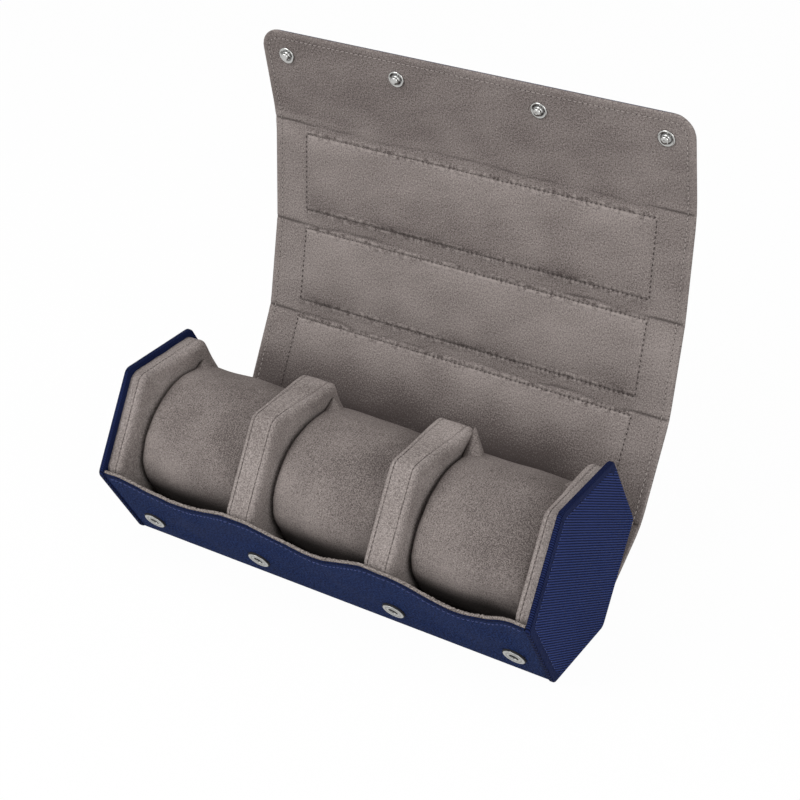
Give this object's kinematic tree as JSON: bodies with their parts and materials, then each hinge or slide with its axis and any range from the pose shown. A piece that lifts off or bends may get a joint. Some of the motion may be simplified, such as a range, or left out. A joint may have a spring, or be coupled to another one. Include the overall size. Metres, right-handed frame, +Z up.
{
  "type": "watch travel case",
  "caption": "Hexagonal travel case that holds watches on padded cushions between dividers, with a folding lid closed by press studs.",
  "frame": {"origin": "middle of the flat face that the case rests on", "axes": "+X along the case to the right, -Y towards the front lip and its press studs, +Z up"},
  "size_m": [0.217, 0.1414, 0.2094],
  "materials": {
    "navy_cloth": "matte",
    "grey_suede": "matte",
    "greyboard": "matte",
    "nickel": "polished"
  },
  "bodies": {
    "tray": {"tray_cover": "navy_cloth", "base_board": "greyboard", "tray_lining": "grey_suede", "end_cover_left": "navy_cloth", "end_cover_right": "navy_cloth", "end_board_left": "greyboard", "end_board_right": "greyboard", "end_pad_left": "grey_suede", "end_pad_right": "grey_suede", "divider_left": "grey_suede", "divider_right": "grey_suede", "divider_board_left": "greyboard", "divider_board_right": "greyboard", "snap_sockets": "nickel", "snap_clinch_rings": "nickel"},
    "cushion_left": {"cushion_left": "grey_suede"},
    "cushion_middle": {"cushion_middle": "grey_suede"},
    "cushion_right": {"cushion_right": "grey_suede"},
    "back_lower_panel": {"back_lower_cover": "navy_cloth", "back_lower_board": "greyboard", "back_lower_lining": "grey_suede"},
    "back_upper_panel": {"back_upper_cover": "navy_cloth", "back_upper_board": "greyboard", "back_upper_lining": "grey_suede"},
    "top_panel": {"top_cover": "navy_cloth", "top_board": "greyboard", "top_lining": "grey_suede"},
    "front_upper_panel": {"front_upper_cover": "navy_cloth", "front_upper_board": "greyboard", "front_upper_lining": "grey_suede"},
    "flap": {"flap_cover": "navy_cloth", "flap_lining": "grey_suede", "snap_studs": "nickel", "snap_caps": "nickel"}
  },
  "joints": [
    {"name": "base_fold", "type": "hinge", "parent": "tray", "child": "back_lower_panel", "pos_m": [0, 0.02202, 0.0004], "axis": [1, 0, 0], "range_deg": [-35, 25]},
    {"name": "back_fold", "type": "hinge", "parent": "back_lower_panel", "child": "back_upper_panel", "pos_m": [0, 0.06137, 0.02795], "axis": [1, 0, 0], "range_deg": [-27, 33]},
    {"name": "top_back_fold", "type": "hinge", "parent": "back_upper_panel", "child": "top_panel", "pos_m": [0, 0.08392, 0.07036], "axis": [1, 0, 0], "range_deg": [-17, 43]},
    {"name": "top_front_fold", "type": "hinge", "parent": "top_panel", "child": "front_upper_panel", "pos_m": [0, 0.09232, 0.11359], "axis": [1, 0, 0], "range_deg": [-8, 50]},
    {"name": "flap_fold", "type": "hinge", "parent": "front_upper_panel", "child": "flap", "pos_m": [0, 0.09495, 0.16381], "axis": [1, 0, 0], "range_deg": [-14, 47]},
    {"name": "left_cushion_seat", "type": "slide", "parent": "tray", "child": "cushion_left", "axis": [0, 0, -1], "range_m": [-0.085, 0]},
    {"name": "middle_cushion_seat", "type": "slide", "parent": "tray", "child": "cushion_middle", "axis": [0, 0, -1], "range_m": [-0.085, 0]},
    {"name": "right_cushion_seat", "type": "slide", "parent": "tray", "child": "cushion_right", "axis": [0, 0, -1], "range_m": [-0.085, 0]}
  ]
}
